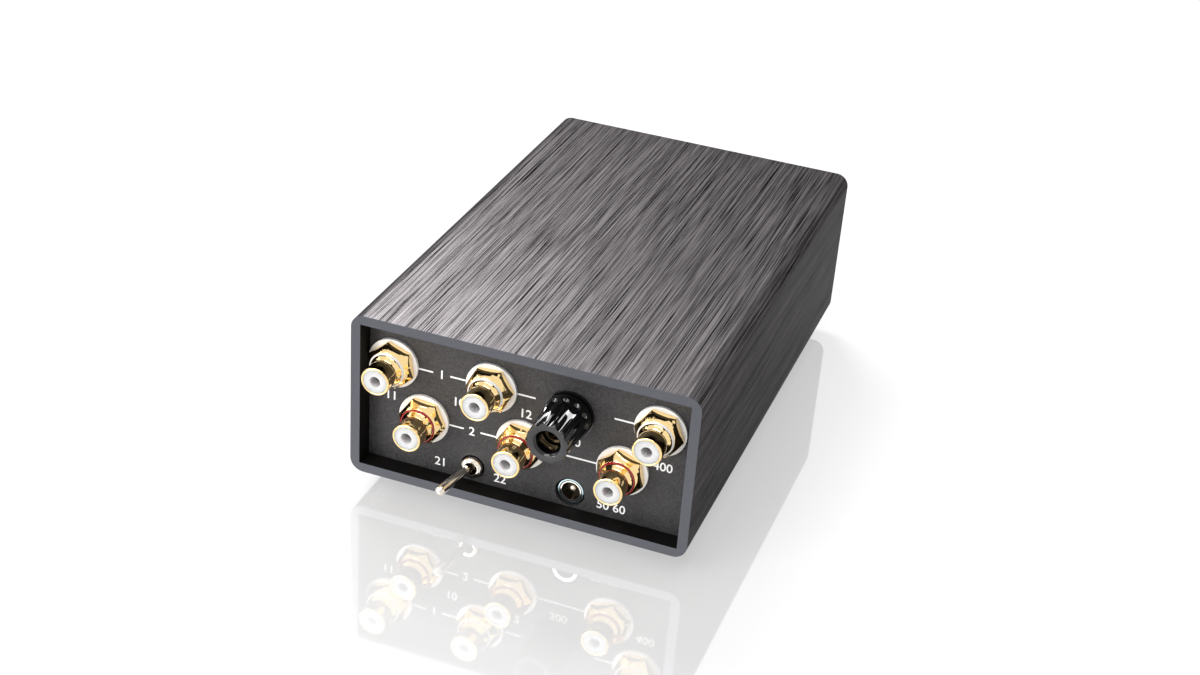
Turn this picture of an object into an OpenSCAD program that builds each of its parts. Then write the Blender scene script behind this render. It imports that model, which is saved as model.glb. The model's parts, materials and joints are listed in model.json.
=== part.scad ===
// Small desktop phono preamp: an extruded aluminium tube on four feet, with a recessed
// connector panel facing -Y and a plain recessed panel at the other end.
// The origin is on the surface it stands on, under the middle of its overall length and width.

/* [Case tube] */
// Width of the tube
case_w = 100; // [90:1:130]
// Height of the tube
case_h = 50; // [49:1:70]
// Length of the tube
case_d = 156; // [150:1:220]
// Wall thickness of the tube
case_wall = 2.8; // [2.4:0.1:2.9]
// Outside radius of the tube's long edges
case_corner_r = 4; // [3:0.25:6]

/* [Panels] */
// How far both panels sit inside the ends of the tube
panel_recess = 5.8; // [4:0.1:8]
// Thickness of the panels' sheet
panel_t = 2; // [1.5:0.1:2.5]
// Gap between a panel's edge and the tube's wall
panel_gap = 0.15; // [0.05:0.05:0.3]
// Width of each folded mounting tab
tab_w = 14; // [12:1:16]
// Length of each folded mounting tab, from the panel's back
tab_l = 12; // [10:0.5:14]
// Distance of a tab's outer side from the panel's side edge
tab_inset = 2; // [1:0.5:4]
// Radius of the thread in screws that hold the panels
screw_r = 1.45; // [1.3:0.05:1.5]
// Radial clearance of screws in plain holes
screw_gap = 0.15; // [0.1:0.05:0.25]
// Radius of a countersunk screw head
screw_head_r = 2.8; // [2.6:0.1:3]
// Depth of a countersunk screw head
screw_head_h = 1.6; // [1.4:0.1:1.8]
// Outside radius of the nuts pressed into the tabs
press_nut_r = 2.9; // [2.7:0.1:3.2]
// Height of a pressed nut above its tab
press_nut_h = 1.5; // [1.2:0.1:2]

/* [Feet] */
// Height of a foot, which is the gap under the tube
foot_h = 6; // [5:0.5:10]
// Radius of a foot at the bottom
foot_r = 7.5; // [6.5:0.5:10]
// Radius of a foot where it meets the tube
foot_top_r = 6.5; // [5.5:0.5:9]
// Rounding of a foot's bottom edge
foot_edge_r = 0.8; // [0.4:0.1:1.5]
// Distance of a foot's centre from the side of the tube
foot_inset_x = 16; // [14:1:18]
// Distance of a foot's centre from the end of the tube
foot_inset_y = 33; // [31:1:38]
// Depth of the screw's recess in a foot
foot_recess = 3.6; // [2.8:0.1:4]
// Head radius of the screws through the feet
foot_screw_head_r = 2.8; // [2.5:0.1:3]
// Head height of the screws through the feet
foot_screw_head_h = 2; // [1.6:0.1:2.4]

/* [Phono sockets] */
// Gap between the leftmost socket's washer and the tube's wall
input_side_gap = 0.2; // [0.1:0.1:1.5]
// Distance of the second input pair's upper socket from the middle, to the left
input_b_x = 10.4; // [9.8:0.2:11]
// Gap between the rightmost socket's washer and the tube's wall
output_side_gap = 1.7; // [0.1:0.1:2.5]
// Sideways step from an upper socket to its lower one
pair_step_x = 9.6; // [9.2:0.1:10]
// Height of the lower sockets above the tube's underside
lower_row_z = 19.2; // [18.8:0.1:20]
// Height of the upper sockets above the lower ones
row_step_z = 15.3; // [14.8:0.1:15.8]
// Radius of the white outer washer
washer_r = 7.4; // [7:0.1:7.5]
// Thickness of the white outer washer
washer_t = 0.9; // [0.6:0.1:1.4]
// Corner radius of the hexagonal flange
flange_r = 7; // [6.4:0.1:7.2]
// Thickness of the hexagonal flange at its corners
flange_t = 1.9; // [1.4:0.1:2.4]
// Length of the hexagon and its cone, from the washer to the coloured ring
shoulder_l = 4; // [3.6:0.1:4.6]
// Slope of the cone that runs from the hexagon down to the neck, in degrees
cone_angle = 36; // [30:1:40]
// Radius of the cone at the coloured ring
ring_r = 5.2; // [5:0.05:5.4]
// Width of the coloured ring
ring_w = 0.5; // [0.4:0.1:1]
// Depth of the coloured ring's seat
ring_seat = 0.35; // [0.2:0.05:0.5]
// Outside radius of the barrel that a plug slides over
barrel_r = 4.15; // [4.1:0.05:4.2]
// Length of the barrel's plain stretch, behind its bevelled tip
barrel_l = 4.2; // [3.6:0.1:4.6]
// Length from the coloured ring to the tip
tip_l = 7.3; // [7:0.1:9]
// Depth of the neck behind the barrel
neck_depth = 0.3; // [0.2:0.05:0.35]
// Radius of the threaded tail behind the flange
tail_r = 4; // [3.8:0.1:4.2]
// Length of the threaded tail behind the panel's face
tail_l = 9; // [8.5:0.5:12]
// Radius of the white insulator in the tip
insulator_r = 3.5; // [3.4:0.05:3.6]
// Radius of the insulator in the tail
insulator_tail_r = 2.8; // [2.6:0.1:3]
// Radius of the hole for the plug's centre pin
pin_bore_r = 1.6; // [1.6:0.05:1.7]
// Wall of the centre contact
contact_wall = 0.35; // [0.25:0.05:0.5]
// Depth of the centre contact's mouth in the insulator
contact_depth = 5; // [2:0.5:6]
// Length of the solder cup behind the tail
cup_l = 4; // [3:0.5:6]
// Thickness of the white inner washer
inner_washer_t = 1; // [0.8:0.1:1.5]
// Radius of the white inner washer
inner_washer_r = 6.8; // [6.4:0.1:7]
// Thickness of the solder tags
tag_t = 0.5; // [0.3:0.1:0.8]
// Reach of a solder tag below the middle of its socket
tag_reach = 9; // [8.4:0.1:9.4]
// Width across the flats of the nuts behind the panel
socket_nut_af = 11; // [10.5:0.1:11.5]
// Thickness of the nuts behind the panel
socket_nut_t = 2.4; // [2:0.1:3]

/* [Binding post] */
// Distance of the post from the middle, to the right
post_x = 12.3; // [11.5:0.1:13]
// Height of the post above the tube's underside
post_z = 32.3; // [31.5:0.1:33]
// Radius of the base disc
post_base_r = 7.1; // [6.8:0.1:7.4]
// Thickness of the base disc
post_base_t = 1; // [0.8:0.1:1.6]
// Radius of the cap's skirt
cap_skirt_r = 6.8; // [6.5:0.1:7]
// Length of the cap's skirt
cap_skirt_l = 2.6; // [2:0.1:3.5]
// Radius of the cap at its tip
cap_tip_r = 5.9; // [5.7:0.1:6.4]
// Overall length of the cap
cap_l = 15.4; // [14:0.1:18]
// Number of flutes round the cap
flute_count = 12; // [8:1:14]
// Radius of the cutter for each flute
flute_r = 1.3; // [1:0.1:1.6]
// Depth of each flute at the tip
flute_depth = 0.45; // [0.3:0.05:0.7]
// Radius of the hole in the cap's end
cap_bore_r = 3.3; // [3.2:0.1:3.7]
// Depth of the hole in the cap's end
cap_bore_l = 5.2; // [4:0.1:7]
// Width of the bevel round the cap's hole
cap_bevel = 0.7; // [0.4:0.1:0.9]
// Radius of the stud
stud_r = 2.8; // [2.6:0.05:2.9]
// Radius of the banana plug bore in the stud
banana_r = 2; // [1.95:0.05:2.05]
// Length of the banana plug bore
banana_l = 15; // [13:0.5:16]
// Radius of the cross hole for a bare wire
wire_hole_r = 1; // [0.7:0.1:1.2]
// Length of the stud behind the panel's face
stud_tail_l = 9; // [8.5:0.5:12]
// Wall of the cap's threaded metal liner
liner_wall = 1.2; // [0.8:0.1:1.4]
// Radial running clearance of the stud in the liner, and of the liner in the cap
post_fit = 0.05; // [0.02:0.01:0.1]
// Gap between the closed cap and the base disc
cap_gap = 0.2; // [0.1:0.05:0.4]

/* [Toggle switch] */
// Distance of the switch from the middle, to the left
switch_x = 15.1; // [14.5:0.1:15.5]
// Height of the switch and the power jack above the tube's underside
low_row_z = 7.5; // [7.4:0.1:8]
// Radius of the bushing
bushing_r = 3.15; // [3:0.05:3.2]
// Reach of the bushing in front of the panel
bushing_out = 1.5; // [1:0.1:2.5]
// Length of the bushing
bushing_l = 6; // [5:0.1:9]
// Radial gap between the bushing and the panel's hole
bushing_gap = 0.4; // [0.2:0.1:0.6]
// Radius of the lever's pivot ball
pivot_r = 1.5; // [1.4:0.05:1.6]
// Radial clearance of the pivot ball in its seat
pivot_gap = 0.08; // [0.05:0.01:0.1]
// Radius of the lever at the pivot end
lever_root_r = 0.9; // [0.8:0.05:1]
// Radius of the lever's rounded tip
lever_tip_r = 1.5; // [1.3:0.05:1.7]
// Length of the lever from the pivot to the middle of its tip
lever_l = 17.4; // [14:0.2:19]
// Tilt of the lever to each side of the middle
lever_angle = 10; // [8:0.5:11]
// Width of the switch body, along the lever's swing
switch_w = 12.7; // [12:0.1:13.5]
// Height of the switch body
switch_h = 6.8; // [6.4:0.1:7.2]
// Length of the switch body behind its plate
switch_l = 9.2; // [8:0.1:10]
// Thickness of the switch's nickel plate
switch_plate_t = 0.8; // [0.5:0.1:1]
// Spacing of the switch's tags
switch_tag_pitch = 4.7; // [4.2:0.1:5]

/* [Power jack] */
// Distance of the jack from the middle, to the right
jack_x = 13.9; // [13.5:0.1:14.5]
// Radius of the panel's hole for the jack
jack_hole_r = 4.3; // [4.1:0.1:4.5]
// Radius of the jack's nickel nose ring
jack_nose_r = 3.7; // [3.5:0.1:3.9]
// Depth of the jack's face behind the panel's face
jack_face_depth = 0.8; // [0.4:0.1:1.5]
// Radius of the jack's bore, for the barrel of the plug
jack_bore_r = 2.75; // [2.75:0.05:2.85]
// Depth of the jack's bore
jack_bore_l = 9.5; // [8.5:0.5:10]
// Radius of the jack's centre pin
jack_pin_r = 1.05; // [1:0.05:1.25]
// Wall of the sleeve contact in the bore
jack_sleeve_t = 0.3; // [0.2:0.05:0.4]
// Width of the jack's body
jack_w = 9; // [8.4:0.1:10]
// Height of the jack's body
jack_h = 8.4; // [8:0.1:8.8]
// Length of the jack's body behind the panel
jack_l = 11; // [10.5:0.5:12]

/* [Circuit board] */
// Thickness of the circuit board
board_t = 1.6; // [1.2:0.1:2]
// Gap between the board's side edge and the tube's wall
board_side_gap = 3.2; // [1:0.2:4]
// Distance of the board's far edge from the front panel's back
board_far_gap = 16; // [14:1:18]
// Gap between the board's near edge and the longest part behind the panel
board_near_gap = 0.4; // [0.3:0.1:1]
// Thickness of the tags that lie on the board
board_tag_t = 0.8; // [0.6:0.1:1]
// Length of the tags that lie on the board
board_tag_l = 4; // [3:0.5:5]
// Radius of the round spacers under the board
spacer_r = 3; // [2.6:0.1:3.6]
// Width across the flats of the nuts on the board
board_nut_af = 5.5; // [5:0.1:6]
// Thickness of the nuts on the board
board_nut_t = 2.4; // [2:0.1:2.8]
// Radius of the wires
wire_r = 0.7; // [0.5:0.05:0.9]
// Bend radius at the middle of a wire
wire_bend = 4; // [3.5:0.25:5]

/* [Parts on the board] */
// Radius of the supply capacitors
supply_cap_r = 8; // [6:0.5:9]
// Height of the supply capacitors
supply_cap_h = 25; // [16:1:28]
// Radius of the coupling capacitors
coupling_cap_r = 4; // [3:0.5:5]
// Height of the coupling capacitors
coupling_cap_h = 12; // [9:1:16]
// Width of a film capacitor
film_cap_w = 5; // [4:0.5:6]
// Length of a film capacitor
film_cap_l = 13; // [10:0.5:14]
// Height of a film capacitor
film_cap_h = 11; // [8:0.5:14]
// Pitch of the leads of chips and regulators
lead_pitch = 2.54; // [2.5:0.01:2.6]
// Width of the leads of chips and regulators
lead_w = 0.8; // [0.5:0.1:1]
// Distance of the outer chips' middles from the board's side edges
chip_inset = 14; // [8:1:16]
// Width of a chip's package
chip_w = 6.4; // [6:0.1:8]
// Length of a chip's package
chip_l = 9.6; // [9.2:0.1:10.4]
// Height of a chip's package
chip_h = 3.3; // [3:0.1:4]
// Gap between the two relays
relay_gap = 4; // [2:0.5:6]
// Width of a relay
relay_w = 20; // [15:0.5:21]
// Length of a relay
relay_l = 10; // [7:0.5:11]
// Height of a relay
relay_h = 10; // [8:0.5:14]
// Distance of a regulator's middle from the board's side edge
regulator_inset = 13; // [8:1:16]
// Width of a regulator
regulator_w = 10; // [8:0.5:11]
// Thickness of a regulator's moulded body
regulator_body_t = 3.2; // [2.6:0.1:3.6]
// Height of a regulator's moulded body
regulator_body_h = 9; // [8:0.5:10]
// Height of a regulator above the board, on its leads
regulator_lift = 4; // [2:0.5:5]
// Height of a regulator's metal tab above the board
regulator_h = 18; // [16:0.5:20]
// Thickness of a regulator's metal tab
regulator_tab_t = 1.3; // [1:0.1:1.6]
// Pitch of the row of resistors
resistor_pitch = 6; // [4:0.5:6.4]
// Radius of a resistor
resistor_r = 1.2; // [0.8:0.1:1.5]
// Length of a resistor's body
resistor_l = 6.5; // [5:0.5:7]
// Length of a resistor's lead at each end
resistor_lead_l = 1.1; // [0.8:0.1:2]

/* [Indicator light] */
// Radius of the indicator's lens
light_r = 1.5; // [1.25:0.05:2.5]
// Height of the indicator above the tube's underside
light_z = 14; // [12:0.5:16]

/* [Hidden] */
$fn = 96;

eps = 0.01;                       // overshoot of a cut past a face

// How far the connectors reach in front of the panel's face
ring_u = washer_t + shoulder_l;
tip_u = ring_u + tip_l;
cap_u = post_base_t + cap_gap;
cap_tip_u = cap_u + cap_l;
pivot_depth = bushing_l - pivot_r - 0.5;    // half a millimetre of bore is left under the ball
pivot_u = bushing_out - pivot_depth;
lever_end_u = pivot_u + lever_l * cos(lever_angle) + lever_tip_r;
reach = max(tip_u, cap_tip_u, lever_end_u) - panel_recess;

// Along the length: the near end is at -Y
near_y = (reach - case_d) / 2;
far_y = near_y + case_d;
panel_y = near_y + panel_recess;
front_y = far_y - panel_recess;
panel_back_y = panel_y + panel_t;
front_back_y = front_y - panel_t;
panel_w = case_w - 2 * (case_wall + panel_gap);
panel_h = case_h - 2 * case_wall - panel_gap;
floor_z = foot_h + case_wall;
tab_x = panel_w / 2 - tab_inset - tab_w / 2;

// The board lies under the tags of the switch and the jack
board_top = foot_h + low_row_z - board_tag_t / 2;
board_low = board_top - board_t;
switch_back_u = bushing_out - bushing_l - switch_plate_t - switch_l;
jack_back_u = -panel_t - jack_l;
board_y = panel_y - min(switch_back_u, jack_back_u) + board_near_gap;
board_end_y = front_back_y - board_far_gap;
board_w = case_w - 2 * (case_wall + board_side_gap);
tag_end_y = board_y + board_tag_l;

// Rows on the board, measured from its near edge
row_gap = 3;
earth_wire_y = tag_end_y + 1.5;
signal_wire_y = earth_wire_y + 3.5;
relay_y = signal_wire_y - board_y + wire_r + row_gap + relay_l / 2;
resistor_span = resistor_l + 2 * resistor_lead_l;
resistor_y = relay_y + relay_l / 2 + row_gap + resistor_span / 2;
chip_y = resistor_y + resistor_span / 2 + row_gap + chip_l / 2;
film_y = chip_y + chip_l / 2 + row_gap + film_cap_l / 2;
coupling_y = film_y + film_cap_l / 2 + row_gap + coupling_cap_r;
foot_x = case_w / 2 - foot_inset_x;
foot_places = [for (x = [-foot_x, foot_x], y = [near_y + foot_inset_y, far_y - foot_inset_y])
    [x, y]];
tab_places = [for (x = [-tab_x, tab_x], y = [panel_back_y + tab_l / 2, front_back_y - tab_l / 2])
    [x, y]];

// Middle of each socket, as [x, z] on the panel, and the turn of its hexagonal flange
upper_row_z = lower_row_z + row_step_z;
input_a_x = case_w / 2 - case_wall - input_side_gap - washer_r;
output_x = case_w / 2 - case_wall - output_side_gap - washer_r;
mc_left = [-input_a_x, upper_row_z, 40];
mc_right = [-input_a_x + pair_step_x, lower_row_z, 55];
mm_left = [-input_b_x, upper_row_z, 4];
mm_right = [-input_b_x + pair_step_x, lower_row_z, 57];
out_left = [output_x, upper_row_z, 53];
out_right = [output_x - pair_step_x, lower_row_z, 41];
left_sockets = [mc_left, mm_left, out_left];
right_sockets = [mc_right, mm_right, out_right];
all_sockets = concat(left_sockets, right_sockets);
post = [post_x, post_z, 0];

// Depths behind the panel's face of what is stacked on a socket's tail
boss_gap = 0.1;                   // clearance round a washer's boss in the panel's hole
boss_wall = 1;                    // wall of the washer's boss
socket_hole_r = tail_r + boss_wall + 2 * boss_gap;
inner_washer_u = -panel_t;
tag_u = inner_washer_u - inner_washer_t;
nut_u = tag_u - tag_t;
insulator_back_u = -tail_l - 0.5;

// Binding post
post_boss_r = stud_r + boss_gap + boss_wall;
liner_r = stud_r + post_fit + liner_wall;
liner_u = cap_u + 2.4;            // the cap's own wall under the liner
stud_end_u = cap_tip_u - cap_bore_l - 0.6;
liner_l = stud_end_u - liner_u - 0.3;

// Places on rotate([90, 0, 0]) panels: x to the right, y up, z outwards from the face
module on_panel(place) {
    translate([place[0], panel_y, foot_h + place[1]]) rotate([90, 0, 0]) children();
}

module pipe(r_out, r_in, low, high) {
    translate([0, 0, low]) difference() {
        cylinder(r = r_out, h = high - low);
        translate([0, 0, -eps]) cylinder(r = r_in, h = high - low + 2 * eps);
    }
}

module rod(r, low, high) {
    translate([0, 0, low]) cylinder(r = r, h = high - low);
}

module hex_prism(af, low, high) {
    translate([0, 0, low]) cylinder(r = af / sqrt(3), h = high - low, $fn = 6);
}

// A nut: a hexagonal prism with both faces' corners turned away
module nut(af, bore, low, high) {
    corner = af / sqrt(3);
    chamfer = (corner - af / 2) * 0.6;
    difference() {
        intersection() {
            hex_prism(af, low, high);
            translate([0, 0, low]) rotate_extrude() polygon([
                [0, 0], [corner - chamfer * 1.6, 0], [corner, chamfer],
                [corner, high - low - chamfer], [corner - chamfer * 1.6, high - low],
                [0, high - low]]);
        }
        rod(bore, low - eps, high + eps);
    }
}

/* ---- Case ---- */

module tube_outline() {
    r = case_corner_r;
    translate([-case_w / 2 + r, 0]) square([case_w - 2 * r, case_h]);
    translate([-case_w / 2, r]) square([case_w, case_h - 2 * r]);
    for (x = [-1, 1], z = [r, case_h - r]) translate([x * (case_w / 2 - r), z]) circle(r);
}

module countersink() {
    head = screw_head_r + screw_gap;
    translate([0, 0, foot_h - eps])
        cylinder(r1 = head, r2 = screw_r + screw_gap, h = screw_head_h);
    rod(screw_r + screw_gap, foot_h, floor_z + eps);
}

module case_tube() {
    color("#2c2c2f") difference() {
        translate([0, far_y, foot_h]) rotate([90, 0, 0]) linear_extrude(case_d) difference() {
            tube_outline();
            translate([case_wall - case_w / 2, case_wall])
                square([case_w - 2 * case_wall, case_h - 2 * case_wall]);
        }
        for (p = tab_places) translate(p) countersink();
        for (p = foot_places) translate(p)
            rod(screw_r + screw_gap, foot_h - eps, floor_z + eps);
    }
}

// One panel with its tabs, standing on the tube's floor with its face at y = 0
module panel_blank() {
    bend = panel_t / 2;
    translate([-panel_w / 2, 0, 0]) cube([panel_w, panel_t, panel_h]);
    for (x = [-tab_x, tab_x]) translate([x - tab_w / 2, panel_t, 0]) difference() {
        cube([tab_w, tab_l, panel_t + bend]);
        translate([-eps, bend, panel_t + bend]) rotate([0, 90, 0])
            cylinder(r = bend, h = tab_w + 2 * eps);
        translate([-eps, bend, panel_t]) cube([tab_w + 2 * eps, tab_l, bend + eps]);
        translate([tab_w / 2, tab_l / 2, -eps])
            cylinder(r = press_nut_r * 0.72, h = panel_t + 2 * eps);
    }
}

module connector_panel() {
    color("#3a3838") difference() {
        translate([0, panel_y, floor_z]) panel_blank();
        for (s = all_sockets) on_panel(s) rod(socket_hole_r, -panel_t - eps, eps);
        on_panel(post) rod(post_boss_r + boss_gap, -panel_t - eps, eps);
        on_panel([-switch_x, low_row_z])
            rod(bushing_r + bushing_gap, -panel_t - eps, eps);
        on_panel([jack_x, low_row_z]) rod(jack_hole_r, -panel_t - eps, eps);
    }
}

module front_panel() {
    color("#3a3838") difference() {
        translate([0, front_y, floor_z]) mirror([0, 1, 0]) panel_blank();
        translate([0, front_y + eps, foot_h + light_z]) rotate([90, 0, 0])
            cylinder(r = light_r + boss_gap, h = panel_t + 2 * eps);
    }
}

module press_nuts() {
    color("#b9b9b4") for (p = tab_places) translate([p[0], p[1], floor_z]) difference() {
        union() {
            rod(press_nut_r * 0.7, 0.3, panel_t + eps);
            rod(press_nut_r, panel_t, panel_t + press_nut_h);
        }
        rod(screw_r + 0.05, -eps, panel_t + press_nut_h + eps);
    }
}

module panel_screws() {
    socket_af = 1.8;
    color("#3b3b3e") for (p = tab_places) translate([p[0], p[1], foot_h]) difference() {
        union() {
            cylinder(r1 = screw_head_r, r2 = screw_r, h = screw_head_h);
            rod(screw_r, screw_head_h, case_wall + panel_t + press_nut_h - 0.2);
        }
        hex_prism(socket_af, -eps, screw_head_h * 0.7);
    }
}

/* ---- Feet, and what fixes the board through them ---- */

module foot(place) {
    e = foot_edge_r;
    color("#232323") translate(place) difference() {
        rotate_extrude() {
            polygon([[0, 0], [foot_r - e, 0], [foot_r - e, e], [foot_r, e],
                [foot_top_r, foot_h], [0, foot_h]]);
            intersection() {
                translate([foot_r - e, e]) circle(e);
                square([foot_r, e]);
            }
        }
        rod(foot_screw_head_r + 2 * screw_gap, -eps, foot_recess);
        rod(screw_r + screw_gap, 0, foot_h + eps);
    }
}

module foot_screws() {
    socket_af = 2;
    end_z = board_top + board_nut_t + 0.4;
    color("#b9b9b4") for (p = foot_places) translate(p) difference() {
        union() {
            rod(foot_screw_head_r, foot_recess - foot_screw_head_h, foot_recess);
            rod(screw_r, foot_recess - eps, end_z);
        }
        hex_prism(socket_af, 0, foot_recess - foot_screw_head_h / 2);
    }
}

module board_spacers() {
    color("#c9b26b") for (p = foot_places) translate(p)
        pipe(spacer_r, screw_r + screw_gap, floor_z, board_low);
}

module board_nuts() {
    color("#b9b9b4") for (p = foot_places) translate(p)
        nut(board_nut_af, screw_r + 0.05, board_top, board_top + board_nut_t);
}

module circuit_board() {
    color("#1f5a36") difference() {
        translate([-board_w / 2, board_y, board_low])
            cube([board_w, board_end_y - board_y, board_t]);
        for (p = foot_places) translate(p) rod(screw_r + screw_gap, 0, board_top + eps);
    }
}

/* ---- Phono sockets ---- */

// Radius of the shell's cone at a distance from the panel's face
function cone_r(u) = ring_r + (ring_u - u) * tan(cone_angle);

// Gold shell: a hexagon turned down to a cone, a neck and the barrel
module socket_shell(place) {
    edge = 0.25;                  // small bevels on the turned edges
    flange_u = washer_t + flange_t;
    bore = insulator_r + 0.02;
    tail_bore = insulator_tail_r + 0.02;
    ring_end = ring_u + ring_w;
    seat_r = cone_r(ring_end) - ring_seat;
    neck_r = barrel_r - neck_depth;
    neck_u = ring_u + (ring_r - neck_r) / tan(cone_angle);
    barrel_u = tip_u - edge - barrel_l;
    color("#d9a441") on_panel(place) difference() {
        union() {
            rotate_extrude() polygon([
                [0, -tail_l], [tail_r - edge, -tail_l], [tail_r, edge - tail_l],
                [tail_r, ring_u], [seat_r, ring_u], [seat_r, ring_end],
                [cone_r(ring_end), ring_end], [neck_r, neck_u],
                [neck_r, barrel_u - neck_depth], [barrel_r, barrel_u],
                [barrel_r, tip_u - edge], [barrel_r - edge, tip_u], [0, tip_u]]);
            rotate([0, 0, place[2]]) intersection() {
                rod(flange_r, washer_t, ring_u, $fn = 6);
                rotate_extrude() polygon([
                    [0, washer_t], [flange_r, washer_t], [flange_r, flange_u - edge],
                    [cone_r(flange_u), flange_u], [ring_r, ring_u], [0, ring_u]]);
            }
        }
        rod(bore, 0, tip_u + eps);
        rod(tail_bore, -tail_l - eps, eps);
    }
}

// White insulator: fills the shell's tip and tail, with the pin's hole through it
module socket_insulator(place) {
    contact_r = pin_bore_r + contact_wall;
    color("#f2f0ec") on_panel(place) difference() {
        union() {
            rod(insulator_r, 0, tip_u - 0.1);
            rod(insulator_tail_r, insulator_back_u, eps);
        }
        rod(pin_bore_r, tip_u - contact_depth - eps, tip_u);
        rod(contact_r, insulator_back_u - eps, tip_u - contact_depth);
    }
}

// Ring of enamel in its seat on the cone, a little proud of it
module coloured_ring(place) {
    ring_end = ring_u + ring_w;
    seat_r = cone_r(ring_end) - ring_seat;
    proud = 0.05;
    on_panel(place) rotate_extrude() polygon([
        [seat_r, ring_u], [cone_r(ring_u) + proud, ring_u],
        [cone_r(ring_end) + proud, ring_end], [seat_r, ring_end]]);
}

module white_rings() {
    color("#f4f4f2") for (s = left_sockets) coloured_ring(s);
}

module red_rings() {
    color("#b3161c") for (s = right_sockets) coloured_ring(s);
}

// Centre contacts: a tube for the pin, closed at the back by a solder cup
module centre_contacts() {
    contact_r = pin_bore_r + contact_wall - 0.02;
    color("#cfa24a") for (s = all_sockets) on_panel(s) difference() {
        union() {
            rod(contact_r, insulator_back_u - 0.5, tip_u - contact_depth);
            rod(wire_r + 2 * contact_wall, insulator_back_u - cup_l, insulator_back_u);
        }
        rod(pin_bore_r, 0, tip_u);
        rod(wire_r, insulator_back_u - cup_l - eps, insulator_back_u - 1);
    }
}

module outer_washers() {
    color("#f4f4f2") for (s = all_sockets) on_panel(s) difference() {
        union() {
            rod(washer_r, 0, washer_t);
            rod(tail_r + boss_gap + boss_wall, 0.1 - panel_t, eps);
        }
        rod(tail_r + boss_gap, -panel_t, washer_t + eps);
    }
}

module inner_washers() {
    color("#f4f4f2") for (s = all_sockets) on_panel(s)
        pipe(inner_washer_r, tail_r + boss_gap, tag_u, inner_washer_u);
}

// A flat ring with a tail that reaches downwards and is folded back for the wire
module solder_tag(hole_r) {
    ring_r = hole_r + 1.6;
    tail_w = 2.4;
    difference() {
        union() {
            rod(ring_r, nut_u, tag_u);
            translate([-tail_w / 2, -tag_reach, nut_u]) cube([tail_w, tag_reach, tag_t]);
        }
        rod(hole_r, nut_u - eps, tag_u + eps);
    }
}

module solder_tags() {
    color("#c8c6bd") for (s = all_sockets) on_panel(s) solder_tag(tail_r + boss_gap);
}

module socket_nuts() {
    color("#d9a441") for (s = all_sockets) on_panel(s)
        nut(socket_nut_af, tail_r + 0.05, nut_u - socket_nut_t, nut_u);
}

/* ---- Binding post ---- */

module post_stud() {
    color("#c99a4b") on_panel(post) difference() {
        rod(stud_r, -stud_tail_l, stud_end_u);
        rod(banana_r, stud_end_u - banana_l, stud_end_u + eps);
        translate([0, 0, post_base_t + 1.4]) rotate([90, 0, 0])
            cylinder(r = wire_hole_r, h = 2 * stud_r + 2, center = true);
    }
}

module post_base() {
    color("#1b1b1c") on_panel(post) difference() {
        union() {
            rod(post_base_r, 0, post_base_t);
            rod(post_boss_r, 0.1 - panel_t, eps);
        }
        rod(stud_r + 0.02, -panel_t, post_base_t + eps);
    }
}

module post_inner_washer() {
    color("#1b1b1c") on_panel(post) pipe(post_base_r - 0.6, stud_r + boss_gap, tag_u, inner_washer_u);
}

module post_tag() {
    color("#c8c6bd") on_panel(post) solder_tag(stud_r + boss_gap);
}

module post_nut() {
    color("#c99a4b") on_panel(post) nut(2.8 * stud_r, stud_r + 0.05, nut_u - socket_nut_t, nut_u);
}

module cap_liner() {
    color("#c99a4b") on_panel(post)
        pipe(liner_r, stud_r + post_fit, liner_u, liner_u + liner_l);
}

// Fluted cap: a tapered body over a smooth skirt, with scalloped flutes to the tip
module post_cap() {
    round_r = 0.5;
    tip_edge = 0.1;
    waist_r = cap_skirt_r - 0.3;
    skirt_u = cap_u + cap_skirt_l;
    step = 360 / flute_count;
    color("#161617") on_panel(post) difference() {
        rotate_extrude() polygon([
            [0, cap_u], [cap_skirt_r - round_r, cap_u], [cap_skirt_r, cap_u + round_r],
            [waist_r, skirt_u], [cap_tip_r, cap_tip_u - tip_edge],
            [cap_tip_r - tip_edge, cap_tip_u], [0, cap_tip_u]]);
        for (i = [0:flute_count - 1]) rotate([0, 0, i * step])
            translate([cap_tip_r + flute_r - flute_depth, 0, skirt_u + flute_r / 2]) {
                cylinder(r = flute_r, h = cap_l);
                sphere(r = flute_r);
            }
        rod(stud_r + 0.3, cap_u - eps, cap_tip_u);
        rod(liner_r + post_fit, liner_u, cap_tip_u - cap_bore_l + eps);
        rod(cap_bore_r, cap_tip_u - cap_bore_l, cap_tip_u + eps);
        translate([0, 0, cap_tip_u - cap_bevel])
            cylinder(r1 = cap_bore_r, r2 = cap_bore_r + cap_bevel + eps, h = cap_bevel + eps);
    }
}

/* ---- Toggle switch ---- */

module switch_bushing() {
    mouth_r = lever_root_r + pivot_depth * tan(lever_angle) + 0.35;
    seat_r = pivot_r + pivot_gap;
    edge = 0.35;
    color("#c9c7c2") on_panel([-switch_x, low_row_z]) difference() {
        union() {
            translate([0, 0, bushing_out - bushing_l]) rotate_extrude() polygon([
                [0, 0], [bushing_r, 0], [bushing_r, bushing_l - edge],
                [bushing_r - edge, bushing_l], [0, bushing_l]]);
            translate([-switch_w / 2, -switch_h / 2, bushing_out - bushing_l - switch_plate_t])
                cube([switch_w, switch_h, switch_plate_t]);
        }
        rod(seat_r, bushing_out - bushing_l, bushing_out + eps);
        translate([0, 0, pivot_u]) cylinder(r1 = seat_r, r2 = mouth_r, h = pivot_depth + eps);
    }
}

module switch_body() {
    back = switch_back_u;
    color("#7a1f1c") on_panel([-switch_x, low_row_z])
        translate([-switch_w / 2, -switch_h / 2, back])
            cube([switch_w, switch_h, switch_l]);
}

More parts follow.
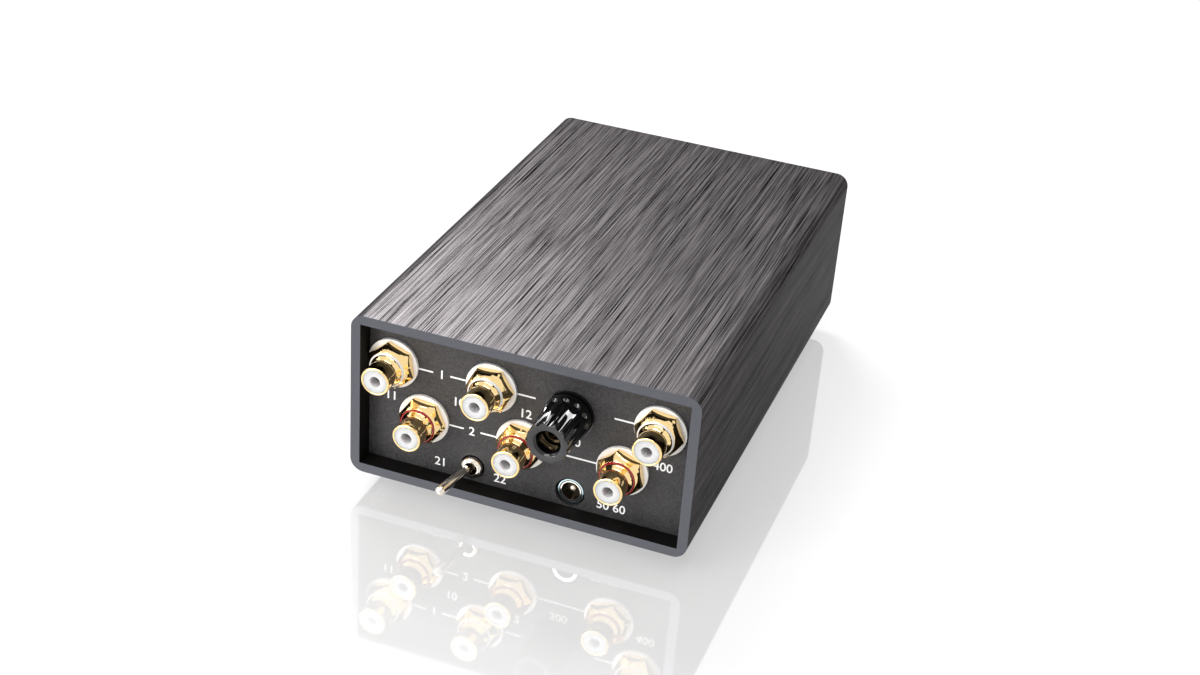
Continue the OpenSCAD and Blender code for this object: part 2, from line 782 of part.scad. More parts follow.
module switch_tags() {
    color("#c8c6bd") for (i = [-1:1])
        translate([-switch_x + i * switch_tag_pitch - 1, panel_y - switch_back_u, board_top])
            cube([2, tag_end_y - panel_y + switch_back_u, board_tag_t]);
}

// Lever leaning to its left stop: a tapered stalk with a rounded tip and a ball at the pivot
module switch_lever() {
    color("#d4d2cc") on_panel([-switch_x, low_row_z]) translate([0, 0, pivot_u])
        rotate([0, -lever_angle, 0]) {
            sphere(r = pivot_r);
            cylinder(r1 = lever_root_r, r2 = lever_tip_r, h = lever_l);
            translate([0, 0, lever_l]) sphere(r = lever_tip_r);
        }
}

/* ---- Power jack ---- */

module jack_body() {
    color("#1b1b1c") on_panel([jack_x, low_row_z]) difference() {
        union() {
            translate([-jack_w / 2, -jack_h / 2, jack_back_u]) cube([jack_w, jack_h, jack_l]);
            rod(jack_nose_r - 0.35, -panel_t - eps, -jack_face_depth);
        }
        rod(jack_bore_r + jack_sleeve_t, -jack_face_depth - jack_bore_l, eps);
    }
}

module jack_nose() {
    color("#c9c7c2") on_panel([jack_x, low_row_z])
        pipe(jack_nose_r, jack_nose_r - 0.33, -panel_t, 0.1 - jack_face_depth);
}

module jack_sleeve() {
    color("#e2e0da") on_panel([jack_x, low_row_z])
        pipe(jack_bore_r + jack_sleeve_t - 0.01, jack_bore_r, -jack_face_depth - jack_bore_l,
            0.05 - jack_face_depth);
}

module jack_pin() {
    low = -jack_face_depth - jack_bore_l;
    color("#e2e0da") on_panel([jack_x, low_row_z]) {
        rod(jack_pin_r, low, -jack_face_depth - 1 - jack_pin_r);
        translate([0, 0, -jack_face_depth - 1 - jack_pin_r]) sphere(r = jack_pin_r);
    }
}

module jack_tags() {
    color("#c8c6bd") for (i = [-1, 1])
        translate([jack_x + i * jack_w / 4 - 1, panel_y - jack_back_u, board_top])
            cube([2, tag_end_y - panel_y + jack_back_u, board_tag_t]);
}

/* ---- Circuit board parts: places are measured from the board's near or far edge ---- */

module from_near(x, y) {
    translate([x, board_y + y, board_top]) children();
}

module from_far(x, y) {
    translate([x, board_end_y - y, board_top]) children();
}

module capacitor(r, h) {
    e = 0.6;
    difference() {
        rotate_extrude() polygon([[0, 0], [r - e, 0], [r, e], [r, 2 * e], [r - e / 2, 2.5 * e],
            [r, 3 * e], [r, h - e], [r - e, h], [0, h]]);
        for (a = [0, 90]) rotate([0, 0, a]) translate([-r * 0.6, -0.15, h - 0.4])
            cube([r * 1.2, 0.3, 1]);
    }
}

module supply_capacitors() {
    color("#23304f") for (i = [-1, 1])
        from_far(i * (supply_cap_r + 4), supply_cap_r + 8) capacitor(supply_cap_r, supply_cap_h);
}

module coupling_capacitors() {
    step = 3 * coupling_cap_r;
    color("#23304f") for (i = [-2.5:2.5])
        from_near(i * step, coupling_y) capacitor(coupling_cap_r, coupling_cap_h);
}

module film_capacitors() {
    color("#a3302a") for (i = [-3.5:3.5]) from_near(i * 2 * film_cap_w, film_y)
        translate([-film_cap_w / 2, -film_cap_l / 2, 0])
            cube([film_cap_w, film_cap_l, film_cap_h]);
}

module amplifier_chips() {
    lift = chip_h / 7;
    pitch = (board_w - 2 * chip_inset) / 3;
    color("#1d1d1f") for (i = [-1.5:1.5]) from_near(i * pitch, chip_y) {
        translate([-chip_w / 2, -chip_l / 2, lift]) cube([chip_w, chip_l, chip_h]);
        for (x = [-1, 1], k = [-1.5:1.5])
            translate([x * chip_w / 2 - lead_w / 2, k * lead_pitch - lead_w / 2, 0])
                cube([lead_w, lead_w, lift + chip_h / 2]);
    }
}

module input_relays() {
    color("#d8d6cf") for (i = [-1, 1]) from_near(i * (relay_w + relay_gap) / 2, relay_y)
        translate([-relay_w / 2, -relay_l / 2, 0]) cube([relay_w, relay_l, relay_h]);
}

module regulators() {
    tab_h = regulator_h - regulator_lift;
    hole_r = regulator_w * 0.18;
    side_x = board_w / 2 - regulator_inset;
    color("#2a2a2c") for (i = [-1, 1]) from_far(i * side_x, 2 * supply_cap_r + row_gap) {
        translate([-regulator_w / 2, 0, regulator_lift])
            cube([regulator_w, regulator_body_t, regulator_body_h]);
        translate([-regulator_w / 2, regulator_body_t, regulator_lift]) difference() {
            cube([regulator_w, regulator_tab_t, tab_h]);
            translate([regulator_w / 2, -eps, tab_h - 1.4 * hole_r]) rotate([-90, 0, 0])
                cylinder(r = hole_r, h = regulator_tab_t + 2 * eps);
        }
        for (k = [-1:1])
            translate([k * lead_pitch - lead_w / 2, regulator_body_t / 2 - lead_w / 2, 0])
                cube([lead_w, lead_w, regulator_lift + eps]);
    }
}

module resistors() {
    lead_r = resistor_r / 4;
    lift = resistor_r * 1.3;
    reach = resistor_lead_l - lead_r;
    color("#3f7fa6") for (i = [-6:6]) from_near(i * resistor_pitch, resistor_y) {
        translate([0, resistor_l / 2, lift]) rotate([90, 0, 0])
            cylinder(r = resistor_r, h = resistor_l);
        for (k = [-1, 1]) translate([0, k * (resistor_l / 2 + reach), 0]) {
            cylinder(r = lead_r, h = lift + lead_r);
            translate([0, 0, lift]) rotate([k * 90, 0, 0])
                cylinder(r = lead_r, h = reach + lead_r);
        }
    }
}

/* ---- Wires ---- */

// A wire that leaves along +Y at height z, bends down and lands on the board at run + bend
module wire(x, y, z, run, bend) {
    translate([x, y, z]) {
        rotate([-90, 0, 0]) cylinder(r = wire_r, h = run);
        translate([0, run, -bend]) rotate([90, 0, 90]) rotate_extrude(angle = 90)
            translate([bend, 0]) circle(wire_r, $fn = 32);
        translate([0, run + bend, board_top - z]) cylinder(r = wire_r, h = z - board_top - bend);
    }
}

module signal_wires() {
    start_u = insulator_back_u - 1;
    color("#c9302c") for (s = all_sockets)
        wire(s[0], panel_y - start_u, foot_h + s[1], signal_wire_y - panel_y + start_u - wire_bend,
            wire_bend);
}

module earth_wires() {
    bend = wire_bend / 2;
    color("#2f7d46") for (s = concat(all_sockets, [post]))
        wire(s[0], panel_y - nut_u, foot_h + s[1] - tag_reach + wire_r + 0.2,
            earth_wire_y - panel_y + nut_u - bend, bend);
}

/* ---- Indicator light ---- */

module indicator_light() {
    base_l = 4;
    lead_y = board_end_y - 2;
    z = foot_h + light_z;
    color("#e8e6d8") {
        translate([0, front_y, z]) rotate([90, 0, 0])
            cylinder(r = light_r, h = panel_t + base_l);
        translate([0, front_y, z]) sphere(r = light_r);
        for (i = [-1, 1]) translate([i * 0.8, front_back_y - base_l, z]) {
            translate([-0.25, lead_y - front_back_y + base_l, -0.25])
                cube([0.5, front_back_y - base_l - lead_y + eps, 0.5]);
            translate([-0.25, lead_y - front_back_y + base_l, board_top - z])
                cube([0.5, 0.5, z - board_top]);
        }
    }
}

case_tube();
connector_panel();
front_panel();
press_nuts();
panel_screws();
foot(foot_places[0]);  // foot_near_left
foot(foot_places[1]);  // foot_far_left
foot(foot_places[2]);  // foot_near_right
foot(foot_places[3]);  // foot_far_right
foot_screws();
board_spacers();
board_nuts();
circuit_board();
socket_shell(mc_left);  // mc_in_left_shell
socket_shell(mc_right);  // mc_in_right_shell
socket_shell(mm_left);  // mm_in_left_shell
socket_shell(mm_right);  // mm_in_right_shell
socket_shell(out_left);  // line_out_left_shell
socket_shell(out_right);  // line_out_right_shell
socket_insulator(mc_left);  // mc_in_left_insulator
socket_insulator(mc_right);  // mc_in_right_insulator
socket_insulator(mm_left);  // mm_in_left_insulator
socket_insulator(mm_right);  // mm_in_right_insulator
socket_insulator(out_left);  // line_out_left_insulator
socket_insulator(out_right);  // line_out_right_insulator
white_rings();
red_rings();
centre_contacts();
outer_washers();
inner_washers();
solder_tags();
socket_nuts();
post_stud();
post_base();
post_inner_washer();
post_nut();
post_tag();
cap_liner();
post_cap();
switch_bushing();
switch_body();
switch_tags();
switch_lever();
jack_body();
jack_nose();
jack_sleeve();
jack_pin();
jack_tags();
supply_capacitors();
coupling_capacitors();
film_capacitors();
amplifier_chips();
input_relays();
regulators();
resistors();
signal_wires();
earth_wires();
indicator_light();
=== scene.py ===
"""Looks of a desktop phono preamp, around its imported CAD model."""
import json
import math

import bmesh
import bpy
from mathutils import Matrix, Quaternion, Vector


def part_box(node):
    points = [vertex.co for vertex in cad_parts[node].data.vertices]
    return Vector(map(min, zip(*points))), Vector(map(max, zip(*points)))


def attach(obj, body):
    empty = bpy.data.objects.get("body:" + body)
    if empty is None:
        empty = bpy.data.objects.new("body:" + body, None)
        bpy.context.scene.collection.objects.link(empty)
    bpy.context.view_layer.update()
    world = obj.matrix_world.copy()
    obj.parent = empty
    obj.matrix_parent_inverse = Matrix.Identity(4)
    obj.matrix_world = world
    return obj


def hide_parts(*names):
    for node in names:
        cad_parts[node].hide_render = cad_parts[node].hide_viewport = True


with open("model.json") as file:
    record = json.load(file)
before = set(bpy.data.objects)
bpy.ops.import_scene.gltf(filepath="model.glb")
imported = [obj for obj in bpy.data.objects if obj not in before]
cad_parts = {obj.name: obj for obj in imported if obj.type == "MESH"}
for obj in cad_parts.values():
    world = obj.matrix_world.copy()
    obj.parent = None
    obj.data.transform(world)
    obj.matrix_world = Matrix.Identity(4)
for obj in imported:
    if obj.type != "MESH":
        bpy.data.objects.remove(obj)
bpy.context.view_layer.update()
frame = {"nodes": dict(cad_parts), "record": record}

bl_info = {
    "name": "Phono preamp looks",
    "version": (1, 0, 0),
    "blender": (4, 5, 0),
    "location": "View3D > Sidebar > Preamp",
    "description": "Materials, printed marks, camera and lights of a phono preamp",
    "category": "Object",
}

MM = 0.001
NODES = frame["nodes"]
SLOT_OF = {part["node"]: part["material_slot"]
           for part in frame["record"]["subparts"]}
SOCKETS = ("mc_in_left", "mc_in_right", "mm_in_left", "mm_in_right",
           "line_out_left", "line_out_right")
PANEL_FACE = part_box("connector_panel")[0][1]
TUBE_LOW, TUBE_HIGH = (Vector(corner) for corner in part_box("case_tube"))

# Where materials change, in millimetres
SKIN_DEPTH = 1.0  # from the tube's outer faces to where the painted shade of its inner faces begins
CAP_END_DEPTH = 0.06  # of the cap's matt end
JACK_RING_RADIUS = 3.15  # where the jack's nose turns from its ring to its bore
END_NORMAL = 0.5  # least lean of a face along y that makes it an end face

# The ground
FLOOR_GLOW = 0.62  # strength of its own light
FLOOR_GLOSS = 0.23  # share of mirror in it
FLOOR_BLUR = 0.04  # roughness of the mirror

# Clean-up of the copied meshes
MERGE_DISTANCE = 0.001 * MM
FLAT_ANGLE = math.radians(0.5)  # edges below this are dissolved
BEVEL_ANGLE = math.radians(30)  # edges above this are softened
SHADE_ANGLE = math.radians(35)  # edges above this stay sharp in the shading
DEBURR_ANGLE = math.radians(40)  # edges of the tube above this are softened
TIP_DEPTH = 0.2 * MM  # edges within this of the near end belong to the tip
BEVEL_SEGMENTS = 2

# Printed lines, each from its left to its right end, and the rows' and numbers'
# heights above the tube's underside, in millimetres
TUBE_UNDERSIDE = 6.0
UPPER_ROW, LOWER_ROW = 34.4, 19.0
UPPER_LINES = ((-32.2, -27.9), (-22.8, -17.8), (-3.0, 2.3), (24.9, 30.7))
LOWER_LINES = ((-22.6, -18.2), (-13.2, -8.2), (6.6, 21.1))
NUMBERS = (("1", -25.3, 34.3), ("2", -15.8, 18.8), ("10", -20.0, 27.0),
           ("11", -40.3, 23.8), ("12", -0.3, 28.8), ("21", -24.8, 6.3),
           ("22", -6.8, 5.8), ("300", 13.2, 24.0), ("400", 39.5, 23.3),
           ("50 60", 26.0, 6.3))
HALF_DEPTH = 0.5  # of a number's letters before they are scaled to the ink
BOLDNESS = 0.012  # how much the letters are thickened, in their own units

# Lights: name, place, target, width and height in metres, watts
OBJECT_MIDDLE = (0.0, 0.0, 0.03)
LIGHTS = (
    ("key", (-0.35, -0.8, 0.75), OBJECT_MIDDLE, 0.6, 0.6, 6.0),
    ("low_left", (-0.55, -0.75, 0.14), OBJECT_MIDDLE, 0.4, 0.25, 3.0),
    ("overhead", (0.03, -0.05, 0.65), (0.0, -0.05, 0.0), 0.3, 0.5, 1.6),
    ("back_softbox", (-0.55, 0.69, 0.95), OBJECT_MIDDLE, 0.55, 0.42, 16.5),
)
SKY_LIGHT = 0.5  # strength of the white background as a light

# Reflectors: name, place, target, width and height in metres, glow, the only piece
# that they light, or None for every shiny surface
NEAR_END = (0.0, -0.075, 0.04)
CARDS = (
    ("dark_right", (0.4, -0.1, 0.6), NEAR_END, 0.3, 0.14, 0.02, None),
    ("cap_glint", (0.007, -0.0735, 0.0465), (0.007, -0.09, 0.0465), 0.0016, 0.008,
     11.0, "post_cap_finished"),
    ("cap_glint", (0.0155, -0.0735, 0.0465), (0.0155, -0.09, 0.0465), 0.0016, 0.008,
     11.0, "post_cap_finished"),
    ("bright_left", (-0.6, -0.1, 0.3), NEAR_END, 0.5, 0.3, 2.0, None),
)

# Camera: azimuth, elevation and roll in degrees, its target, and how far off it is
CAMERA_TURN = (18.177, 29.313, 4.551)
CAMERA_TARGET = Vector((20.96, -72.6, 67.03)) * MM
CAMERA_DISTANCE = 0.483
SENSOR_WIDTH, FOCAL_LENGTH = 36.0, 56.52
CLIP_START = 0.01


# ---------------------------------------------------------------- shader helpers

class Value:
    """A shader socket that takes part in sums."""

    def __init__(self, graph, socket):
        self.graph = graph
        self.socket = socket

    def __add__(self, other):
        return self.graph.sum("ADD", self, other)

    def __sub__(self, other):
        return self.graph.sum("SUBTRACT", self, other)

    def __rsub__(self, other):
        return self.graph.sum("SUBTRACT", other, self)

    def __mul__(self, other):
        return self.graph.sum("MULTIPLY", self, other)

    def __gt__(self, other):
        return self.graph.sum("GREATER_THAN", self, other)

    def __lt__(self, other):
        return self.graph.sum("LESS_THAN", self, other)

    def __abs__(self):
        return self.graph.sum("ABSOLUTE", self)


class Graph:
    """Builds the nodes of one material or world."""

    def __init__(self, owner):
        owner.use_nodes = True
        self.tree = owner.node_tree
        self.tree.nodes.clear()

    def add(self, kind, inputs=None, out=0, **settings):
        """Adds a node with its settings, links and values; gives one of its outputs."""
        node = self.tree.nodes.new("ShaderNode" + kind)
        for name, setting in settings.items():
            setattr(node, name, setting)
        for key, value in (inputs or {}).items():
            if isinstance(value, Value):
                self.tree.links.new(value.socket, node.inputs[key])
            else:
                node.inputs[key].default_value = value
        return Value(self, node.outputs[out])

    def sum(self, operation, *terms):
        return self.add("Math", dict(enumerate(terms)), operation=operation)

    def millimetres(self, stretch=(1, 1, 1)):
        """Object coordinates in millimetres, each axis divided by its stretch."""
        place = self.add("TexCoord", out="Object")
        scale = tuple(1 / (MM * part) for part in stretch)
        return self.add("Mapping", {"Vector": place, "Scale": scale})

    def axes(self, vector):
        split = self.add("SeparateXYZ", {"Vector": vector}).socket.node
        return [Value(self, socket) for socket in split.outputs]

    def noise(self, grain, detail=3.0, rough=0.5):
        """Noise from 0 to 1 whose lumps are about grain millimetres along each axis."""
        return self.add("TexNoise", {"Vector": self.millimetres(grain), "Scale": 1.0,
                                     "Detail": detail, "Roughness": rough}, out="Fac")

    def spread(self, value, low, high, floor=0.0, ceiling=1.0):
        """value from low..high stretched to floor..ceiling, clamped."""
        return self.add("MapRange", {"Value": value, "From Min": low, "From Max": high,
                                     "To Min": floor, "To Max": ceiling}, out="Result")

    def vary(self, noise, floor=0.0, ceiling=1.0):
        """Noise's usual range stretched to floor..ceiling."""
        return self.spread(noise, 0.3, 0.7, floor, ceiling)

    def tint(self, factor, first, second):
        """Colour that goes from first to second with factor."""
        return self.add("Mix", {"Factor": factor, 6: first, 7: second}, out=2,
                        data_type="RGBA")

    def bump(self, height, distance):
        """A normal for height's relief, distance millimetres deep."""
        return self.add("Bump", {"Height": height, "Distance": distance * MM,
                                 "Strength": 1.0})

    def finish(self, **inputs):
        """The Principled surface, joined to the output."""
        self.output(self.add("BsdfPrincipled", {key.replace("_", " ").title(): value
                                                for key, value in inputs.items()}))

    def output(self, shader, kind="Material"):
        node = self.tree.nodes.new("ShaderNodeOutput" + kind)
        self.tree.links.new(shader.socket, node.inputs["Surface"])


def rgb(colour, scale=1.0):
    return tuple(part * scale for part in colour[:3]) + (1.0,)


def new_material(name):
    material = bpy.data.materials.new(name)
    return material, Graph(material)


# ---------------------------------------------------------------- materials

def plain_finish(name, colour, roughness, metallic=0.0, coat=0.0, grain=2.0,
                 mottle=0.15, pits=0.01, pit_grain=0.3, milky=0.0):
    """A material with mottled colour and roughness and a fine uneven surface. Light
    passes some way through a milky one."""
    material, g = new_material(name)
    cloud = g.noise((grain,) * 3)
    fine = g.noise((pit_grain,) * 3, detail=2.0)
    g.finish(
        base_color=g.tint(g.vary(cloud), rgb(colour, 1 - mottle),
                          rgb(colour, 1 + mottle)),
        roughness=g.vary(cloud, roughness * 0.85, min(1.0, roughness * 1.15)),
        metallic=metallic, coat_weight=coat, normal=g.bump(fine, pits),
        subsurface_weight=milky, subsurface_radius=(1.0, 0.85, 0.83),
        subsurface_scale=4.0 * MM)
    return material


def brushed_case(colours):
    """Black anodised aluminium, brushed along the tube, with plain ends and inner
    faces; the inner faces carry painted shade, darkened nearly to black."""
    material, g = new_material("anodised")
    long_streaks = g.noise((0.16, 90.0, 0.16), detail=2.0, rough=0.6)
    short_streaks = g.noise((0.12, 26.0, 0.12), detail=2.0, rough=0.7)
    streak = g.spread(long_streaks * 0.45 + short_streaks * 0.55, 0.45, 0.55)
    x, _, z = g.axes(g.millimetres())
    end = abs(g.axes(g.add("TexCoord", out="Normal"))[1]) > END_NORMAL
    middle = (TUBE_LOW.z + TUBE_HIGH.z) / 2 / MM
    half_height = (TUBE_HIGH.z - TUBE_LOW.z) / 2 / MM
    # painted shade: the tube's inner faces are the same metal, coloured near black for
    # the shade that falls in the recess
    shaded_inside = ((abs(x) < TUBE_HIGH.x / MM - SKIN_DEPTH) * (1.0 - end)
              * (abs(z - middle) < half_height - SKIN_DEPTH))
    dark, bright = rgb(colours.anodised, 0.16), rgb(colours.anodised, 1.88)
    walls_with_shade = g.tint(shaded_inside, g.tint(streak, dark, bright), rgb(colours.shaded_inner_wall))
    g.finish(base_color=g.tint(end, walls_with_shade, rgb(colours.cut_end)),
             metallic=1.0 - shaded_inside * 0.8, specular_tint=rgb((0.32,) * 3),
             roughness=g.vary(short_streaks, 0.27, 0.37) + shaded_inside * 0.3,
             normal=g.bump(long_streaks * 0.4 + short_streaks, 0.006))
    return material


def powder_coat(colours):
    """Fine-textured dark coat of the panels."""
    material, g = new_material("powder_coat")
    orange_peel = g.noise((0.5,) * 3, rough=0.6)
    cloud = g.noise((9.0,) * 3)
    dark, bright = rgb(colours.panel, 0.55), rgb(colours.panel, 1.45)
    g.finish(base_color=g.tint(g.spread(orange_peel * 0.8 + cloud * 0.2, 0.4, 0.6),
                               dark, bright),
             roughness=g.vary(cloud, 0.42, 0.55),
             normal=g.bump(orange_peel, 0.25))
    return material


def cap_plastic(colours):
    """Glossy black plastic whose moulded end face is matt and greyer."""
    material, g = new_material("cap_plastic")
    y = g.axes(g.millimetres())[1]
    end = y < (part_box("post_cap")[0][1] / MM + CAP_END_DEPTH)
    fine = g.noise((0.5,) * 3, detail=2.0)
    g.finish(base_color=g.tint(end, rgb(colours.plastic), rgb(colours.cap_end)),
             roughness=g.vary(fine, 0.05, 0.09) + end * 0.5,
             normal=g.bump(fine, 0.002))
    return material


def polished_metal(name, colour, roughness, turning=0.0015, pitch=0.12):
    """Bright plated metal with slight mottling and turning marks of that depth and
    pitch in millimetres, round the y axis."""
    material, g = new_material(name)
    rings = g.noise((40.0, pitch, 40.0), detail=1.0)
    cloud = g.noise((3.0,) * 3)
    g.finish(base_color=g.tint(g.vary(cloud), rgb(colour, 0.95), rgb(colour)),
             metallic=1.0,
             roughness=g.vary(cloud, roughness * 0.8, roughness * 1.25),
             normal=g.bump(rings, turning))
    return material


def jack_metal(colours):
    """The jack's nose: a bluish ring round a nickel bore."""
    low, high = (Vector(corner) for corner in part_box("jack_nose"))
    middle = (low + high) / 2 / MM
    material, g = new_material("jack_nose")
    x, _, z = g.axes(g.millimetres())
    radius = g.sum("SQRT", g.sum("POWER", x - middle.x, 2.0)
                   + g.sum("POWER", z - middle.z, 2.0))
    cloud = g.noise((1.0,) * 3)
    g.finish(base_color=g.tint(radius > JACK_RING_RADIUS, rgb(colours.nickel),
                               rgb(colours.jack_ring)),
             metallic=1.0, roughness=g.vary(cloud, 0.12, 0.22),
             normal=g.bump(cloud, 0.004))
    return material


def printed_paint(colours):
    """White ink with a faint speckle."""
    material, g = new_material("print")
    speck = g.noise((0.3,) * 3)
    paint = colours.print_white
    g.finish(base_color=g.tint(g.vary(speck), rgb(paint, 0.93), rgb(paint)),
             roughness=g.vary(speck, 0.45, 0.6), normal=g.bump(speck, 0.01))
    return material


def floor_material(colours):
    """Pale glossy ground that glows a little, so it stays near white and keeps a
    shadow."""
    material, g = new_material("ground")
    cloud = g.noise((60.0,) * 3)
    base = g.tint(g.vary(cloud), rgb(colours.floor, 0.985), rgb(colours.floor))
    glow = g.add("Emission", {"Color": (1, 1, 1, 1), "Strength": FLOOR_GLOW})
    lit = g.add("AddShader", {0: g.add("BsdfDiffuse", {"Color": base}), 1: glow})
    gloss = g.add("BsdfAnisotropic", {"Color": (1, 1, 1, 1), "Roughness": FLOOR_BLUR})
    g.output(g.add("MixShader", {"Fac": FLOOR_GLOSS, 1: lit, 2: gloss}))
    return material


# The materials made so far, by slot
MATERIALS = {}


def material_for(slot):
    """The finished material of one of the record's slots."""
    if slot not in MATERIALS:
        colours = bpy.context.scene.preamp_colours
        if slot == "black_anodised":
            made = brushed_case(colours)
        elif slot == "black_powder_coat":
            made = powder_coat(colours)
        elif slot == "gold_plate":
            made = polished_metal(slot, colours.gold, 0.05, turning=0.02, pitch=0.5)
        elif slot == "nickel":
            made = polished_metal(slot, colours.nickel, 0.12)
        elif slot == "brass":
            made = polished_metal(slot, colours.brass, 0.15)
        elif slot in ("zinc_plate", "tinned_metal"):
            made = plain_finish(slot, colours.tin, 0.3, metallic=1.0)
        elif slot == "black_screw":
            made = plain_finish(slot, colours.screw, 0.35, metallic=0.7)
        elif slot == "rubber":
            made = plain_finish(slot, colours.rubber, 0.75, pits=0.03)
        elif slot == "white_insulator":
            made = plain_finish(slot, colours.insulator, 0.45, mottle=0.02, milky=1.0)
        elif slot == "white_ring":
            made = plain_finish(slot, colours.white_ring, 0.2, coat=0.5, mottle=0.02)
        elif slot == "red_ring":
            made = plain_finish(slot, colours.red_ring, 0.2, coat=0.5, mottle=0.05)
        elif slot == "black_plastic":
            made = cap_plastic(colours)
        else:
            look = next(m for m in frame["record"]["materials"] if m["slot"] == slot)
            made = plain_finish(slot, look["base_color"], 0.4, coat=0.2)
        MATERIALS[slot] = made
    return MATERIALS[slot]


# ---------------------------------------------------------------- mesh helpers

def dress(*names):
    """Puts each CAD node's finished material on it."""
    for name in names:
        slots = NODES[name].data.materials
        slots.clear()
        slots.append(material_for(SLOT_OF[name]))


def add_piece(name, bm, body, slot=None, material=None):
    """A new piece from bm that rides on body and wears material, or else the slot's."""
    bmesh.ops.recalc_face_normals(bm, faces=bm.faces)
    mesh = bpy.data.meshes.new(name)
    bm.to_mesh(mesh)
    bm.free()
    piece = bpy.data.objects.new(name, mesh)
    bpy.context.scene.collection.objects.link(piece)
    mesh.materials.append(material or material_for(slot))
    if body:
        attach(piece, body)
    return piece


def polished(node, body="case", material=None, tip_round=0.0):
    """A copy of a CAD node with merged corners, softened edges and smooth curves, shown
    in the node's place. tip_round softens the edges at its near end more."""
    edge_round = bpy.context.scene.preamp_sizes.edge_round
    bm = bmesh.new()
    bm.from_mesh(NODES[node].data)
    bmesh.ops.remove_doubles(bm, verts=bm.verts, dist=MERGE_DISTANCE)
    bmesh.ops.dissolve_limit(bm, angle_limit=FLAT_ANGLE, verts=bm.verts,
                             edges=bm.edges)
    tip = min(vertex.co.y for vertex in bm.verts) + TIP_DEPTH
    for at_tip, offset in ((True, tip_round), (False, edge_round)):
        sharp = [edge for edge in bm.edges if len(edge.link_faces) == 2
                 and edge.calc_face_angle() > BEVEL_ANGLE
                 and (max(vertex.co.y for vertex in edge.verts) < tip) == at_tip]
        if tip_round or not at_tip:
            bmesh.ops.bevel(bm, geom=sharp, offset=offset, offset_type="OFFSET",
                            segments=BEVEL_SEGMENTS, profile=0.5, affect="EDGES",
                            clamp_overlap=True, material=-1)
    for face in bm.faces:
        face.smooth = True
    piece = add_piece(node + "_finished", bm, body, SLOT_OF[node], material)
    piece.data.set_sharp_from_angle(angle=SHADE_ANGLE)
    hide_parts(node)


# ---------------------------------------------------------------- sizes and colours

def colour(name, description, value):
    return bpy.props.FloatVectorProperty(
        name=name, description=description, default=value, subtype="COLOR",
        min=0.0, max=1.0, size=3)


def length(name, description, value):
    return bpy.props.FloatProperty(
        name=name, description=description, default=value, unit="LENGTH",
        min=0.0, precision=5)


class PreampSizes(bpy.types.PropertyGroup):
    """Sizes of what only the scene has."""
    edge_round: length("Edge round", "Softening of turned and moulded edges", 0.08 * MM)
    tip_round: length("Tip round", "Softening of the sockets' near ends", 0.25 * MM)
    deburr: length("Deburr", "Softening of the tube's cut edges", 0.2 * MM)
    line_width: length("Line width", "Width of the printed lines", 0.5 * MM)
    digit_height: length("Digit height", "Height of the printed numbers", 2.7 * MM)
    ink: length("Ink", "Thickness of the printed marks", 0.03 * MM)
    ground: length("Ground", "Width of the ground plane", 6.0)


class PreampColours(bpy.types.PropertyGroup):
    """Colours of the main surfaces."""
    anodised: colour("Anodised", "Brushed case", (0.09, 0.0845, 0.087))
    cut_end: colour("Cut end", "Tube's end faces", (0.09, 0.093, 0.105))
    # painted shade: the same anodised metal, coloured near black for the shade in the
    # tube's recess
    shaded_inner_wall: colour("Inner wall", "Inside of the tube", (0.003, 0.0026, 0.0026))
    panel: colour("Panel", "Powder coat", (0.028, 0.026, 0.0275))
    gold: colour("Gold", "Plated sockets", (1.0, 0.74, 0.36))
    brass: colour("Brass", "Post's stud and liner", (0.5, 0.36, 0.2))
    nickel: colour("Nickel", "Switch", (0.8, 0.74, 0.66))
    tin: colour("Tin", "Zinc plate and tinned tags", (0.6, 0.6, 0.58))
    screw: colour("Screw", "Blackened screws", (0.05, 0.05, 0.055))
    jack_ring: colour("Jack ring", "Power jack's nose", (0.42, 0.55, 0.58))
    insulator: colour("Insulator", "White plastic in the sockets", (0.67, 0.65, 0.65))
    washer: colour("Washer", "White washers under the sockets", (0.92, 0.92, 0.93))
    white_ring: colour("White ring", "Left channel", (0.85, 0.85, 0.85))
    red_ring: colour("Red ring", "Right channel", (0.32, 0.008, 0.012))
    plastic: colour("Plastic", "Black mouldings", (0.003, 0.003, 0.0035))
    cap_end: colour("Cap end", "Matt end of the cap", (0.03, 0.03, 0.032))
    rubber: colour("Rubber", "Feet", (0.018, 0.018, 0.018))
    print_white: colour("Print", "Marks on the panel", (0.95, 0.95, 0.96))
    floor: colour("Floor", "Ground", (0.3, 0.3, 0.3))


# ---------------------------------------------------------------- operators

class PREAMP_OT_case(bpy.types.Operator):
    """Finish the tube, its panels, feet and screws"""
    bl_idname = "preamp.case"
    bl_label = "Case"

    def execute(self, context):
        dress("case_tube", "connector_panel", "front_panel", "press_nuts",
              "panel_screws", "foot_near_left", "foot_near_right", "foot_far_left",
              "foot_far_right", "foot_screws", "board_spacers", "board_nuts")
        deburr = NODES["case_tube"].modifiers.new("deburr", "BEVEL")
        deburr.width = context.scene.preamp_sizes.deburr
        deburr.segments = BEVEL_SEGMENTS
        deburr.limit_method = "ANGLE"
        deburr.angle_limit = DEBURR_ANGLE
        return {"FINISHED"}


class PREAMP_OT_sockets(bpy.types.Operator):
    """Polish the six phono sockets and finish what holds them"""
    bl_idname = "preamp.sockets"
    bl_label = "Phono sockets"

    def execute(self, context):
        scene = context.scene
        for socket in SOCKETS:
            polished(socket + "_shell", tip_round=scene.preamp_sizes.tip_round)
            polished(socket + "_insulator")
        polished("white_rings")
        polished("red_rings")
        polished("outer_washers", material=plain_finish(
            "washer", scene.preamp_colours.washer, 0.5, mottle=0.02))
        dress("centre_contacts", "inner_washers", "solder_tags", "socket_nuts")
        return {"FINISHED"}


